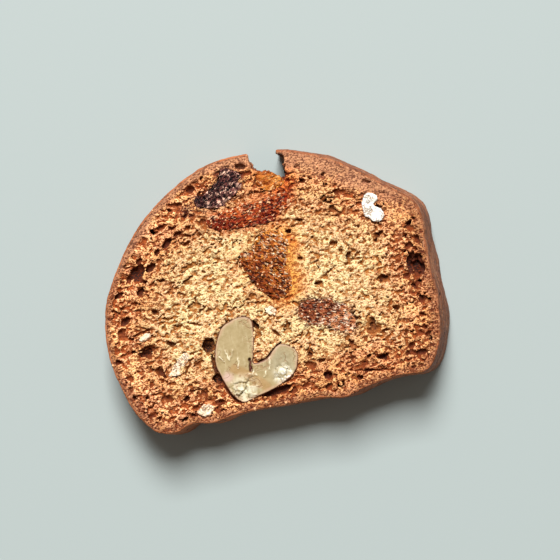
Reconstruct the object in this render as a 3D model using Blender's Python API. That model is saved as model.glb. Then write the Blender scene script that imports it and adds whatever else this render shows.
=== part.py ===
"""One slice of biscotti: a D-shaped slice cut from a baked log, with a walnut, dried fruit and nut bits in it.

The slice lies on its lower cut face. +Z is up, +X runs along the flat base of the log, +Y points to the
domed top of the log. The origin is on the surface that the slice lies on, under the middle of its footprint.
Lengths below are in millimetres and are turned into metres when a mesh is made.
"""

import math

import bmesh
import bpy
from mathutils import Matrix, Vector, noise

MM = 0.001

# Driving dimensions.
THICKNESS = 11.0
OBLIQUE = Vector((2.5, -0.6))  # the log is cut obliquely, so the lower face lies this far from the upper one
OUTLINE_STEP = 0.9  # spacing of the points round the slice
RIM_ROUND = 0.15  # how far the crust rounds over at the cuts
WALL_BULGE = 0.25  # the crust's swell between the two cuts
WALL_LUMPS = 0.9  # uneven rise of the crust, greatest at the lower cut
LUMP_SIZE = 7.0
FIT_GAP = 0.3  # between the crumb and each piece baked into it
CUT_PAST = 1.0  # how far a cutter reaches past the face it cuts

# The upper cut face, anticlockwise from the base's left corner. The base is nearly straight, the right end
# is blunt, and the dome leans to the left.
BASE_EDGE = [
    (-25.4, -21.7), (-22.4, -22.3), (-19.6, -21.5), (-15.4, -22.2), (-11.6, -21.8), (-6.6, -21.8),
    (-1.5, -22.3), (4.0, -22.4), (7.9, -23.4), (9.9, -23.3), (12.0, -22.7), (19.4, -22.0),
]
BLUNT_END = [
    (23.3, -22.5), (25.2, -21.4), (27.0, -18.6), (28.2, -15.2), (29.1, -9.0), (29.0, -4.9),
    (29.4, 0.5), (29.8, 5.2), (29.0, 8.0),
]
DOME_RIGHT = [(27.0, 10.1), (23.9, 12.7), (20.9, 15.4), (17.8, 17.8), (14.6, 19.8), (11.8, 21.2), (9.2, 22.2)]
DOME_LEFT = [
    (6.7, 22.9), (3.9, 23.3), (0.4, 23.5), (-2.1, 23.5), (-5.5, 23.2), (-8.9, 22.2), (-12.7, 20.5),
    (-16.4, 18.3), (-19.9, 15.6), (-23.1, 12.4), (-26.1, 8.5), (-28.9, 4.0), (-30.2, 0.2),
]
ROUND_END = [(-30.9, -3.9), (-30.9, -8.2), (-30.2, -12.4), (-28.9, -16.9), (-27.3, -19.8)]

# The chip that has broken out of the crown of the dome. It drops straight down through the slice, past a
# pointed flake of crust on its right.
CHIP_EDGE = [
    (7.0, 25.5), (7.2, 22.6), (8.3, 21.3), (7.9, 20.0), (8.1, 18.4), (7.2, 17.6), (5.6, 18.2), (4.9, 19.4),
    (3.0, 19.8), (2.3, 21.3), (2.2, 23.1), (1.9, 25.5),
]
CHIP_STEP = 0.7
CHIP_FLARE = 0.6  # the chip is this much wider all round at the lower cut

# The pieces baked into the slice, as they show at the upper cut. Each is an outline and the row below it.
WALNUT_EDGE = [
    (-11.4, -7.2), (-10.1, -5.7), (-8.1, -4.9), (-6.4, -4.7), (-5.0, -5.5), (-5.1, -7.2), (-5.5, -9.6),
    (-6.2, -11.7), (-6.7, -13.5), (-5.6, -13.8), (-4.0, -13.5), (-2.8, -12.8), (-1.7, -11.8), (-0.5, -11.4),
    (0.6, -12.0), (1.8, -13.1), (1.6, -14.9), (0.5, -16.8), (-2.0, -18.1), (-4.3, -18.8), (-7.5, -19.4),
    (-9.8, -19.8), (-10.9, -18.7), (-11.8, -16.9), (-12.5, -14.4), (-12.9, -12.2), (-12.7, -10.2),
]
RAISIN_EDGE = [
    (-3.5, 21.5), (-2.3, 21.5), (-0.8, 20.1), (-0.7, 19.0), (-1.6, 17.7), (-3.0, 16.9), (-4.6, 15.9),
    (-6.2, 15.5), (-8.0, 16.0), (-9.6, 16.8), (-9.4, 17.7), (-8.0, 17.8), (-6.1, 18.8), (-4.6, 19.7),
]
CHERRY_EDGE = [
    (-8.4, 13.4), (-6.6, 13.9), (-3.8, 14.2), (-1.2, 14.6), (2.0, 14.5), (5.4, 15.0), (7.4, 14.9),
    (7.5, 13.7), (5.6, 12.1), (3.6, 11.1), (1.6, 10.7), (-1.8, 11.1), (-4.8, 11.3), (-8.2, 12.2),
]
APRICOT_EDGE = [
    (0.8, 8.9), (2.7, 8.8), (4.3, 7.5), (4.7, 6.2), (4.1, 4.0), (3.3, 1.8), (3.8, -0.6), (3.2, -2.0),
    (2.0, -3.0), (0.5, -2.9), (-0.9, -1.9), (-2.5, 0.2), (-3.2, 2.6), (-4.2, 4.6), (-3.8, 5.9), (-1.7, 6.1),
    (-0.8, 7.6),
]
DATE_EDGE = [
    (4.5, -5.2), (6.4, -4.9), (8.1, -5.5), (9.4, -5.7), (11.1, -6.7), (12.5, -7.6), (12.3, -8.7),
    (13.2, -10.0), (12.9, -11.6), (12.0, -12.1), (10.4, -11.4), (8.8, -10.2), (7.0, -9.3), (4.9, -8.6),
    (3.9, -7.2),
]
CHIP_APRICOT_EDGE = [(2.7, 19.5), (4.7, 19.3), (5.7, 18.0), (6.9, 17.3), (6.1, 16.6), (4.0, 16.5), (2.3, 17.2)]
WHITE_NUT_EDGE = [
    (20.3, 10.3), (21.3, 11.2), (22.6, 10.7), (22.5, 9.9), (21.6, 9.5), (21.6, 8.7), (22.8, 7.7),
    (23.1, 6.4), (21.9, 5.8), (20.5, 6.5), (19.9, 8.3),
]
LEFT_SLIVER_EDGE = [(-25.4, -4.5), (-24.1, -3.8), (-22.9, -3.5), (-22.8, -4.2), (-23.8, -4.8), (-24.9, -5.0)]
MIDDLE_SLIVER_EDGE = [
    (-21.1, -12.0), (-20.5, -10.7), (-18.8, -9.3), (-17.5, -8.4), (-17.1, -9.0), (-17.8, -10.3),
    (-19.2, -11.6), (-20.2, -12.6),
]
CENTRE_BIT_EDGE = [(-1.6, -4.4), (-0.6, -4.1), (0.1, -5.1), (-0.2, -6.1), (-1.4, -5.6)]
BASE_BIT_EDGE = [(-17.9, -19.6), (-16.7, -18.7), (-15.2, -18.9), (-15.0, -20.0), (-16.3, -20.7), (-17.6, -20.4)]

THROUGH = THICKNESS  # for a piece that is cut by both faces of the slice
# name: outline, depth, how much of its width it keeps at its lower end, rise above the cut, point spacing
BAKED_IN = {
    "walnut": (WALNUT_EDGE, THROUGH, 0.80, 0.10, 0.9),
    "raisin": (RAISIN_EDGE, THROUGH, 0.75, -0.15, 0.9),
    "cherry": (CHERRY_EDGE, THROUGH, 0.70, -0.15, 1.0),
    "apricot": (APRICOT_EDGE, THROUGH, 0.85, -0.15, 1.0),
    "date": (DATE_EDGE, THROUGH, 0.80, -0.25, 1.0),
    "chip_apricot": (CHIP_APRICOT_EDGE, 5.0, 0.70, -0.10, 0.9),
    "white_nut": (WHITE_NUT_EDGE, 3.0, 0.60, 0.10, 0.7),
    "left_sliver": (LEFT_SLIVER_EDGE, 2.0, 0.70, 0.05, 0.7),
    "middle_sliver": (MIDDLE_SLIVER_EDGE, 2.5, 0.70, 0.10, 0.8),
    "centre_bit": (CENTRE_BIT_EDGE, 1.8, 0.60, 0.05, 0.7),
    "base_bit": (BASE_BIT_EDGE, 1.8, 0.70, 0.05, 0.8),
}
PIECE_ROUND = 0.2  # rounding of a baked-in piece at its cut faces
PIECE_LIFT = 0.12  # the lower cut of a baked-in piece stays this far above the surface

# Large air pockets that the cuts opened: x, y, length, width, depth, turn in degrees.
UPPER_HOLES = [
    (-24.2, -7.1, 3.4, 1.8, 1.8, 25),  # three-cornered hole under the left sliver
    (-13.4, -8.6, 1.8, 3.4, 2.2, -8),  # beside the walnut
    (27.0, -3.4, 2.4, 3.6, 2.6, 20),  # behind the blunt end's crust
    (20.4, -4.3, 2.2, 1.6, 1.4, 10),
    (21.2, 3.2, 2.4, 1.3, 1.4, 55),
    (25.5, -7.0, 1.8, 1.1, 1.3, -60),
    (17.1, -18.1, 3.2, 1.1, 1.5, -8),
    (6.4, -19.0, 1.9, 1.5, 1.5, 50),
    (4.6, -14.1, 1.5, 1.3, 1.3, 0),
    (-22.3, -11.4, 2.4, 0.9, 1.4, -62),
    (16.3, -12.0, 2.6, 4.0, 1.1, 12),  # shallow blister crater
    (1.3, -9.0, 1.8, 0.9, 1.0, -20),
    (12.0, -13.9, 3.2, 0.7, 1.0, -42),
    (21.7, 13.3, 1.7, 0.9, 0.9, -10),
    (14.4, 10.0, 2.4, 0.9, 1.0, -8),
    (-11.6, 15.2, 1.4, 1.0, 1.1, 40),
]
LOWER_HOLES = [
    (-21.0, 4.0, 3.0, 1.6, 1.6, 35),
    (-14.0, -15.0, 2.2, 1.5, 1.4, -20),
    (19.0, 7.5, 2.8, 1.7, 1.7, 60),
    (24.0, -13.0, 2.6, 1.4, 1.5, -35),
    (10.5, 12.5, 1.9, 1.4, 1.2, 10),
    (-9.5, 3.5, 2.3, 1.2, 1.3, 70),
    (17.0, -5.0, 2.0, 1.6, 1.3, 0),
]

# Colour and roughness of each finish.
FINISHES = {
    "crumb": ((0.62, 0.36, 0.16, 1.0), 0.9),
    "walnut": ((0.66, 0.50, 0.28, 1.0), 0.5),
    "raisin": ((0.05, 0.02, 0.03, 1.0), 0.45),
    "cherry": ((0.30, 0.07, 0.03, 1.0), 0.5),
    "apricot": ((0.36, 0.13, 0.04, 1.0), 0.45),
    "date": ((0.25, 0.09, 0.05, 1.0), 0.5),
    "chip_apricot": ((0.62, 0.22, 0.06, 1.0), 0.5),
    "white_nut": ((0.82, 0.79, 0.70, 1.0), 0.7),
    "pale_nut": ((0.74, 0.64, 0.48, 1.0), 0.7),
}


def smooth_loop(corners, step):
    """Points at even steps along a closed smooth curve through the corners (centripetal Catmull-Rom)."""
    samples_per_span = 12
    count = len(corners)
    dense = []
    for i in range(count):
        p0, p1, p2, p3 = (Vector(corners[(i + k) % count]) for k in (-1, 0, 1, 2))
        t1 = math.sqrt((p1 - p0).length)
        t2 = t1 + math.sqrt((p2 - p1).length)
        t3 = t2 + math.sqrt((p3 - p2).length)
        for s in range(samples_per_span):
            t = t1 + (t2 - t1) * s / samples_per_span
            a1 = p0.lerp(p1, t / t1)
            a2 = p1.lerp(p2, (t - t1) / (t2 - t1))
            a3 = p2.lerp(p3, (t - t2) / (t3 - t2))
            b1 = a1.lerp(a2, t / t2)
            b2 = a2.lerp(a3, (t - t1) / (t3 - t1))
            dense.append(b1.lerp(b2, (t - t1) / (t2 - t1)))
    lengths = [0.0]
    for i, point in enumerate(dense):
        lengths.append(lengths[-1] + (dense[(i + 1) % len(dense)] - point).length)
    wanted = max(8, round(lengths[-1] / step))
    loop, span = [], 0
    for k in range(wanted):
        target = lengths[-1] * k / wanted
        while lengths[span + 1] < target:
            span += 1
        share = (target - lengths[span]) / (lengths[span + 1] - lengths[span])
        loop.append(dense[span].lerp(dense[(span + 1) % len(dense)], share))
    return loop


def outward_normals(loop):
    """Unit normals of a closed anticlockwise loop, pointing away from its inside."""
    normals = []
    for i in range(len(loop)):
        along = loop[(i + 1) % len(loop)] - loop[i - 1]
        normals.append(Vector((along.y, -along.x)).normalized())
    return normals


def anticlockwise(loop):
    area = sum(a.x * b.y - b.x * a.y for a, b in zip(loop, loop[1:] + loop[:1]))
    return loop if area > 0 else loop[::-1]


def grown(loop, distance):
    return [point + normal * distance for point, normal in zip(loop, outward_normals(loop))]


def lofted_mesh(name, rings):
    """A closed mesh through rings of (points, height), from the lowest ring to the highest."""
    shape = bmesh.new()
    rows = [[shape.verts.new((p.x * MM, p.y * MM, z * MM)) for p in points] for points, z in rings]
    for lower, upper in zip(rows, rows[1:]):
        for i in range(len(lower)):
            j = (i + 1) % len(lower)
            shape.faces.new((lower[i], lower[j], upper[j], upper[i]))
    shape.faces.new(rows[-1])
    shape.faces.new(rows[0][::-1])
    bmesh.ops.recalc_face_normals(shape, faces=shape.faces)
    mesh = bpy.data.meshes.new(name)
    shape.to_mesh(mesh)
    shape.free()
    return mesh


def finish_material(slot):
    colour, roughness = FINISHES[slot]
    material = bpy.data.materials.get(slot) or bpy.data.materials.new(slot)
    material.use_nodes = True
    shader = material.node_tree.nodes["Principled BSDF"]
    shader.inputs["Base Color"].default_value = colour
    shader.inputs["Roughness"].default_value = roughness
    shader.inputs["Metallic"].default_value = 0.0
    return material


def add_object(name, mesh, parent, slot=None):
    part = bpy.data.objects.new(name, mesh)
    bpy.context.collection.objects.link(part)
    part.parent = parent
    if slot:
        mesh.materials.append(finish_material(slot))
    return part


def cut_away(part, cutter):
    """Takes the cutter's shape out of the part. The cutter itself is only a guide."""
    cutter.hide_render = True
    cutter.display_type = "WIRE"
    cut = part.modifiers.new("cut_" + cutter.name, "BOOLEAN")
    cut.operation = "DIFFERENCE"
    cut.solver = "EXACT"
    cut.object = cutter


def slice_rings():
    """The slice's rings: the upper cut's outline, moved obliquely, swelling between the cuts and lumpy."""
    corners = BASE_EDGE + BLUNT_END + DOME_RIGHT + DOME_LEFT + ROUND_END
    face = anticlockwise(smooth_loop(corners, OUTLINE_STEP))
    normals = outward_normals(face)
    rings = []
    for share in (0.0, 0.04, 0.25, 0.5, 0.75, 0.96, 1.0):  # height as a share of the thickness
        rim = RIM_ROUND if share in (0.0, 1.0) else 0.0
        swell = WALL_BULGE * math.sin(math.pi * share) - rim
        ring = []
        for point, normal in zip(face, normals):
            place = Vector((point.x, point.y, share * THICKNESS)) / LUMP_SIZE
            lump = WALL_LUMPS * (1.0 - share) * noise.noise(place)
            ring.append(point + OBLIQUE * (1.0 - share) + normal * (swell + lump))
        rings.append((ring, share * THICKNESS))
    return rings


def piece_outline(face, centre, depth, kept, height):
    """A baked-in piece's outline at a height: it narrows with depth and leans with the oblique cut."""
    sunk = THICKNESS - height
    width = 1.0 + (kept - 1.0) * sunk / depth
    lean = OBLIQUE * (sunk / THICKNESS)
    return [centre + lean + (point - centre) * width for point in face]


def baked_in_piece(name, crumb, parent):
    """One nut or fruit piece, and the pocket for it in the crumb."""
    edge, depth, kept, rise, step = BAKED_IN[name]
    face = anticlockwise(smooth_loop(edge, step))
    centre = sum(face, Vector((0.0, 0.0))) / len(face)
    goes_through = depth >= THICKNESS
    top = THICKNESS + rise
    bottom = PIECE_LIFT if goes_through else THICKNESS - depth

    def ring(height, inset=0.0):
        return grown(piece_outline(face, centre, depth, kept, height), -inset), height

    rings = [
        ring(bottom, PIECE_ROUND),
        ring(bottom + PIECE_ROUND),
        ring((bottom + top) / 2.0),
        ring(top - PIECE_ROUND),
        ring(top, PIECE_ROUND),
    ]
    slot = "pale_nut" if name.endswith(("sliver", "bit")) else name
    add_object(name, lofted_mesh(name, rings), parent, slot)

    pocket_bottom = -CUT_PAST if goes_through else bottom - FIT_GAP
    pocket = lofted_mesh(
        name + "_pocket",
        [ring(pocket_bottom, -FIT_GAP), ring(THICKNESS + CUT_PAST, -FIT_GAP)],
    )
    cut_away(crumb, add_object(name + "_pocket", pocket, parent))


def break_chip(crumb, parent):
    """Breaks the chip out of the dome."""
    edge = anticlockwise(smooth_loop(CHIP_EDGE, CHIP_STEP))
    chip = lofted_mesh("chip", [(grown(edge, CHIP_FLARE), -CUT_PAST), (edge, THICKNESS + CUT_PAST)])
    cut_away(crumb, add_object("chip", chip, parent))


def air_hole(name, crumb, parent, place, height):
    """An uneven egg-shaped air pocket, opened by the cut at that height."""
    x, y, length, width, depth, turn = place
    unevenness = 0.22
    shape = bmesh.new()
    bmesh.ops.create_icosphere(shape, subdivisions=2, radius=0.5)
    for vertex in shape.verts:
        lumps = noise.noise(vertex.co * 3.0 + Vector((x, y, 0.0)))
        vertex.co *= 1.0 + unevenness * lumps
        vertex.co.x *= length
        vertex.co.y *= width
        vertex.co.z *= 2.0 * depth
    mesh = bpy.data.meshes.new(name)
    shape.to_mesh(mesh)
    shape.free()
    mesh.transform(Matrix.Scale(MM, 4))
    hole = add_object(name, mesh, parent)
    hole.location = (x * MM, y * MM, height * MM)
    hole.rotation_euler.z = math.radians(turn)
    cut_away(crumb, hole)


def footprint_centre(rings):
    xs = [p.x for ring, _ in rings for p in ring]
    ys = [p.y for ring, _ in rings for p in ring]
    return Vector(((min(xs) + max(xs)) / 2.0, (min(ys) + max(ys)) / 2.0))


def build():
    for old in list(bpy.data.objects):
        bpy.data.objects.remove(old)
    rings = slice_rings()
    middle = footprint_centre(rings)
    slice_frame = bpy.data.objects.new("slice_frame", None)
    bpy.context.collection.objects.link(slice_frame)
    slice_frame.location = (-middle.x * MM, -middle.y * MM, 0.0)
    crumb = add_object("crumb", lofted_mesh("crumb", rings), slice_frame, "crumb")
    break_chip(crumb, slice_frame)
    for name in BAKED_IN:
        baked_in_piece(name, crumb, slice_frame)
    for number, place in enumerate(UPPER_HOLES):
        air_hole(f"upper_hole_{number}", crumb, slice_frame, place, THICKNESS)
    for number, place in enumerate(LOWER_HOLES):
        air_hole(f"lower_hole_{number}", crumb, slice_frame, place, 0.0)


build()
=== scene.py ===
"""The looks of one slice of biscotti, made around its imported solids.

The slice lies on its lower cut face, with +Z up, +X along the flat base of the log and +Y towards the
domed top. Sizes in the sections below are in millimetres, and node trees also work in millimetres.
"""

import math

import bmesh
import bpy
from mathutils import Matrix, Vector


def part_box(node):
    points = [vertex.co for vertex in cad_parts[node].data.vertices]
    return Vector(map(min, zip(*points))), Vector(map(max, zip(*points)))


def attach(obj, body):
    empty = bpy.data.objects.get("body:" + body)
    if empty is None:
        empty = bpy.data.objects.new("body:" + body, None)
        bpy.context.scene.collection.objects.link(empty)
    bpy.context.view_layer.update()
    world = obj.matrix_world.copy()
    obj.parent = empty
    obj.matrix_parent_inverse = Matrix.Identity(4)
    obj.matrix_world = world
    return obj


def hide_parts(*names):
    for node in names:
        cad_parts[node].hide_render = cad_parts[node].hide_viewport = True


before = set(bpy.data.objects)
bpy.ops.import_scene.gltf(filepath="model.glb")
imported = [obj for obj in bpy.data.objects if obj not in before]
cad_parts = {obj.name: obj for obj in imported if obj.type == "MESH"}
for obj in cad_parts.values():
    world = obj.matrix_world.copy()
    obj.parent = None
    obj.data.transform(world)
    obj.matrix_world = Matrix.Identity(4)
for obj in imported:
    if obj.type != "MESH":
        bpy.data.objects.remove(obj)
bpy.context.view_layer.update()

# ------------------------------------------------------------
# Crust. The skin of the log: a thin, dense, browned shell round the slice's edge, broken away at the
# chip in the dome. It is lifted off the crumb solid's outer wall, thickened inwards and wrinkled.
MM = 0.001
CUT_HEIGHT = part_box("crumb")[1].z / MM  # the upper cut face
CRUST_THICKNESS = 0.75
LOWEST = 0.02  # nothing sinks into what the slice lies on
CRUST_FINENESS = 0.2  # edge length of the crust's faces before they are thinned out
CRUST_SHARPEST_TURN = 50  # degrees; the crust ends where the wall turns more sharply, as at the chip
MOST_TRIANGLES = 190_000  # in one piece
SURELY_WALL = 0.6  # the outer wall starts at a face whose normal's z is below this
STILL_WALL = 0.7  # and spreads over faces where it is below this
SAME_POINT = 0.001  # corners closer than this are one


class Flow:
    """What flows out of a node, so that a tree can be written as a formula."""

    def __init__(self, socket):
        self.socket = socket
        self.tree = socket.id_data

    def __add__(self, other):
        return calc("ADD", self, other)

    def __sub__(self, other):
        return calc("SUBTRACT", self, other)

    def __rsub__(self, other):
        return calc("SUBTRACT", other, self)

    def __mul__(self, other):
        return calc("MULTIPLY", self, other)

    def __truediv__(self, other):
        return calc("DIVIDE", self, other)

    def __rtruediv__(self, other):
        return calc("DIVIDE", other, self)


def add_node(tree, kind, inputs=(), **settings):
    """A new node with its settings and inputs. An input is a plain value or a Flow."""
    made = tree.nodes.new(kind)
    for name, value in settings.items():
        setattr(made, name, value)
    for key, value in dict(inputs).items():
        if isinstance(value, Flow):
            tree.links.new(value.socket, made.inputs[key])
        else:
            made.inputs[key].default_value = value
    return made


def out(made, key=0):
    return Flow(made.outputs[key])


def calc(operation, *values):
    """Arithmetic on numbers, or on vectors where the first value is one."""
    tree = next(v.tree for v in values if isinstance(v, Flow))
    vectors = [isinstance(v, Flow) and v.socket.type in ("VECTOR", "RGBA") for v in values]
    if not any(vectors) and operation != "LENGTH":
        return out(add_node(tree, "ShaderNodeMath", enumerate(values), operation=operation))
    if operation == "MULTIPLY" and not all(vectors) and not isinstance(values[1], tuple):
        by = {0: values[0], "Scale": values[1]}
        return out(add_node(tree, "ShaderNodeVectorMath", by, operation="SCALE"), "Vector")
    made = add_node(tree, "ShaderNodeVectorMath", enumerate(values), operation=operation)
    return out(made, "Value" if operation in ("DOT_PRODUCT", "LENGTH", "DISTANCE") else "Vector")


def point(tree, x, y, z):
    return out(add_node(tree, "ShaderNodeCombineXYZ", {0: x, 1: y, 2: z}))


def parts_of(vector):
    """The x, y and z of a vector."""
    made = add_node(vector.tree, "ShaderNodeSeparateXYZ", {0: vector})
    return [Flow(socket) for socket in made.outputs]


def most(one, other):
    return calc("MAXIMUM", one, other)


def least(one, other):
    return calc("MINIMUM", one, other)


def ramp(value, low, high, start=0.0, end=1.0, smooth=True):
    """start up to the value low, end from the value high, and a smooth change between them."""
    kind = "SMOOTHSTEP" if smooth else "LINEAR"
    names = {"Value": value, "From Min": low, "From Max": high, "To Min": start, "To Max": end}
    return out(add_node(value.tree, "ShaderNodeMapRange", names, interpolation_type=kind))


def fade(value, low, high):
    """1 up to the value low and 0 from the value high."""
    return ramp(value, low, high, 1.0, 0.0)


def noise(place, size, detail=2.0, roughness=0.5):
    """Cloudy noise from 0 to 1, with lumps of about that size."""
    inputs = {"Vector": place, "Scale": 1.0 / size, "Detail": detail, "Roughness": roughness}
    return out(add_node(place.tree, "ShaderNodeTexNoise", inputs))


def waver(span, place, size, detail=2.0, roughness=0.5):
    """Cloudy noise round 0, which spans that much in all."""
    return (noise(place, size, detail, roughness) - 0.5) * span


def wander(place, size, reach):
    """The place, moved by a smooth random amount of up to about that reach."""
    inputs = {"Vector": place, "Scale": 1.0 / size, "Detail": 1.0}
    moved = out(add_node(place.tree, "ShaderNodeTexNoise", inputs), "Color")
    return place + (moved - (0.5, 0.5, 0.5)) * (2.0 * reach)


def millimetres(tree):
    """Where a point is, in millimetres, in a tree that makes a shape."""
    return out(add_node(tree, "GeometryNodeInputPosition")) * (1.0 / MM)


def shape_tree(name, **inputs):
    """A geometry tree with named inputs of the given kinds, and those inputs as Flows."""
    tree = bpy.data.node_groups.new(name, "GeometryNodeTree")
    tree.interface.new_socket("Geometry", in_out="INPUT", socket_type="NodeSocketGeometry")
    tree.interface.new_socket("Geometry", in_out="OUTPUT", socket_type="NodeSocketGeometry")
    for title, kind in inputs.items():
        kind = "NodeSocket" + kind
        tree.interface.new_socket(title.replace("_", " "), in_out="INPUT", socket_type=kind)
    entry = tree.nodes.new("NodeGroupInput")
    return tree, {socket.name: Flow(socket) for socket in entry.outputs if socket.name}


def keep(shape, **values):
    """Stores values on a shape's points, for its material to read."""
    for name, value in values.items():
        inputs = {"Geometry": shape, "Name": name, "Value": value}
        shape = out(add_node(shape.tree, "GeometryNodeStoreNamedAttribute", inputs))
    return shape


def moved(shape, offset):
    return out(add_node(shape.tree, "GeometryNodeSetPosition", {"Geometry": shape, "Offset": offset}))


def hollowness(tree, spread):
    """How far a point lies below its surroundings, in millimetres: below zero on a ridge."""
    position = out(add_node(tree, "GeometryNodeInputPosition"))
    inputs = {"Value": position, "Iterations": spread}
    around = out(add_node(tree, "GeometryNodeBlurAttribute", inputs, data_type="FLOAT_VECTOR"))
    normal = out(add_node(tree, "GeometryNodeInputNormal"))
    return calc("DOT_PRODUCT", around - position, normal) / MM


def close_tree(tree, shape, material):
    """Ends a tree in Realize Instances, Set Material and its output."""
    whole = out(add_node(tree, "GeometryNodeRealizeInstances", {"Geometry": shape}))
    dressed = out(add_node(tree, "GeometryNodeSetMaterial", {"Geometry": whole, "Material": material}))
    add_node(tree, "NodeGroupOutput", {"Geometry": dressed})


def in_scene(name, data):
    """A new object in the scene, at the origin."""
    made = bpy.data.objects.new(name, data)
    bpy.context.scene.collection.objects.link(made)
    return made


def as_evaluated(name, mesh, prepare):
    """The plain mesh that modifiers make of a mesh. prepare puts them on the object it is given."""
    maker = in_scene(name + "_maker", mesh)
    prepare(maker)
    made = bpy.data.meshes.new_from_object(maker.evaluated_get(bpy.context.evaluated_depsgraph_get()))
    bpy.data.objects.remove(maker)
    return made


def thinned(name, mesh):
    """The mesh with its flattest faces joined, where it has too many triangles for one piece."""
    triangles = sum(len(polygon.vertices) - 2 for polygon in mesh.polygons)
    if triangles <= MOST_TRIANGLES:
        return mesh

    def prepare(maker):
        fewer = maker.modifiers.new("fewer", "DECIMATE")
        fewer.ratio = MOST_TRIANGLES / triangles

    return as_evaluated(name, mesh, prepare)


def grow(name, start, tree, **inputs):
    """Runs a geometry tree on a mesh and returns a piece that holds the result as a plain, smooth mesh."""

    def prepare(maker):
        modifier = maker.modifiers.new("maker", "NODES")
        modifier.node_group = tree
        for item in tree.interface.items_tree:
            title = item.name.replace(" ", "_")
            if item.in_out == "INPUT" and title in inputs:
                modifier[item.identifier] = inputs[title]

    mesh = thinned(name, as_evaluated(name, start, prepare))
    mesh.name = name
    mesh.shade_smooth()
    return in_scene(name, mesh)


def finished(piece, slot, *nodes):
    """Puts a finished piece on the slice, in place of the solids of these nodes."""
    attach(piece, "root")
    if nodes:
        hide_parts(*nodes)


def merged_copy(node):
    """A copy of a solid's mesh with its loose triangles joined."""
    shape = bmesh.new()
    shape.from_mesh(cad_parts[node].data)
    bmesh.ops.remove_doubles(shape, verts=shape.verts, dist=SAME_POINT * MM)
    shape.normal_update()
    return shape


def as_mesh(shape, name):
    mesh = bpy.data.meshes.new(name)
    shape.to_mesh(mesh)
    shape.free()
    return mesh


def outer_wall():
    """The crumb solid's outer wall, reached from its right end without a sharp turn, as an open mesh."""
    shape = merged_copy("crumb")
    upright = [face for face in shape.faces if abs(face.normal.z) < SURELY_WALL]
    wall = {max(upright, key=lambda face: face.calc_center_median().x)}
    ahead = list(wall)
    while ahead:
        for edge in ahead.pop().edges:
            for face in edge.link_faces:
                gentle = edge.calc_face_angle(0.0) < math.radians(CRUST_SHARPEST_TURN)
                if face not in wall and abs(face.normal.z) < STILL_WALL and gentle:
                    wall.add(face)
                    ahead.append(face)
    bmesh.ops.delete(shape, geom=[f for f in shape.faces if f not in wall], context="FACES")
    return as_mesh(shape, "outer_wall")


wall_mesh = outer_wall()
wall = in_scene("outer_wall", wall_mesh)
wall.hide_render = True


def object_place(tree):
    """Where a point of a material is, in millimetres."""
    return out(add_node(tree, "ShaderNodeTexCoord"), "Object") * (1.0 / MM)


def effect_tree(name, outputs, **inputs):
    """A shader group with named numbers in and out. Returns it, its inputs and the place in millimetres."""
    tree = bpy.data.node_groups.new(name, "ShaderNodeTree")
    for title, value in inputs.items():
        socket = tree.interface.new_socket(title, in_out="INPUT", socket_type="NodeSocketFloat")
        socket.default_value = value
    for title in outputs:
        tree.interface.new_socket(title, in_out="OUTPUT", socket_type="NodeSocketFloat")
    entry = tree.nodes.new("NodeGroupInput")
    given = {socket.name: Flow(socket) for socket in entry.outputs if socket.name}
    return tree, given, object_place(tree)


def grain_effect():
    """Light and dark grains of mixed sizes: a Value round 0.5 and a Height."""
    tree, given, place = effect_tree("grain", ("Value", "Height"), Size=0.5, Contrast=1.0)
    bent = wander(place, 1.1, 0.35)
    coarse = noise(bent, given["Size"], 3.0, 0.6)
    fine = noise(place, given["Size"] * 0.35, 2.0, 0.6)
    both = coarse * 0.6 + fine * 0.4
    value = (both - 0.5) * given["Contrast"] * 2.0 + 0.5
    add_node(tree, "NodeGroupOutput", {"Value": value, "Height": both})
    return tree


def crevice_effect():
    """Thin broken cracks: a Mask that is 1 in them, and a Height that is lower there."""
    tree, given, place = effect_tree("crevices", ("Mask", "Height"), Size=1.2, Width=0.05)
    bent = wander(place, 0.9, 0.5)
    line = calc("ABSOLUTE", noise(bent, given["Size"], 2.0, 0.6) - 0.5)
    broken = ramp(noise(place, given["Size"] * 1.7, 1.0), 0.42, 0.60)
    mask = fade(line / given["Width"], 0.3, 1.0) * broken
    add_node(tree, "NodeGroupOutput", {"Mask": mask, "Height": 1.0 - mask})
    return tree


GRAIN = grain_effect()
CREVICES = crevice_effect()


def new_surface(name, gloss):
    """A new material, its tree and its shader."""
    material = bpy.data.materials.new(name)
    material.use_nodes = True
    shader = material.node_tree.nodes["Principled BSDF"]
    shader.inputs["Specular IOR Level"].default_value = gloss
    return material, material.node_tree, shader


def use(tree, group, **inputs):
    """Places a shader group, and returns what it puts out."""
    made = add_node(tree, "ShaderNodeGroup", inputs, node_tree=group)
    return [Flow(socket) for socket in made.outputs]


def kept(tree, name):
    """A value that the shape tree stored on the piece."""
    return out(add_node(tree, "ShaderNodeAttribute", attribute_name=name), "Fac")


def mix(share, start, end):
    """A colour between two colours."""
    start, end = (value if isinstance(value, Flow) else (*value, 1.0) for value in (start, end))
    return out(add_node(share.tree, "ShaderNodeMix", {0: share, 6: start, 7: end}, data_type="RGBA"), 2)


def tint(share, colour, factors):
    """A colour multiplied by those factors, to that share."""
    return mix(share, colour, colour * factors)


def feed(shader, colour, mask, smoothest, roughest, height, relief):
    """Gives a shader its colour, a roughness that follows a mask, and a bump of that many millimetres."""
    tree = shader.id_data
    roughness = ramp(mask, 0.0, 1.0, smoothest, roughest)
    bump = add_node(tree, "ShaderNodeBump", {"Height": height, "Distance": relief * MM})
    for title, value in {"Base Color": colour, "Roughness": roughness, "Normal": out(bump)}.items():
        tree.links.new(value.socket, shader.inputs[title])


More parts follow.
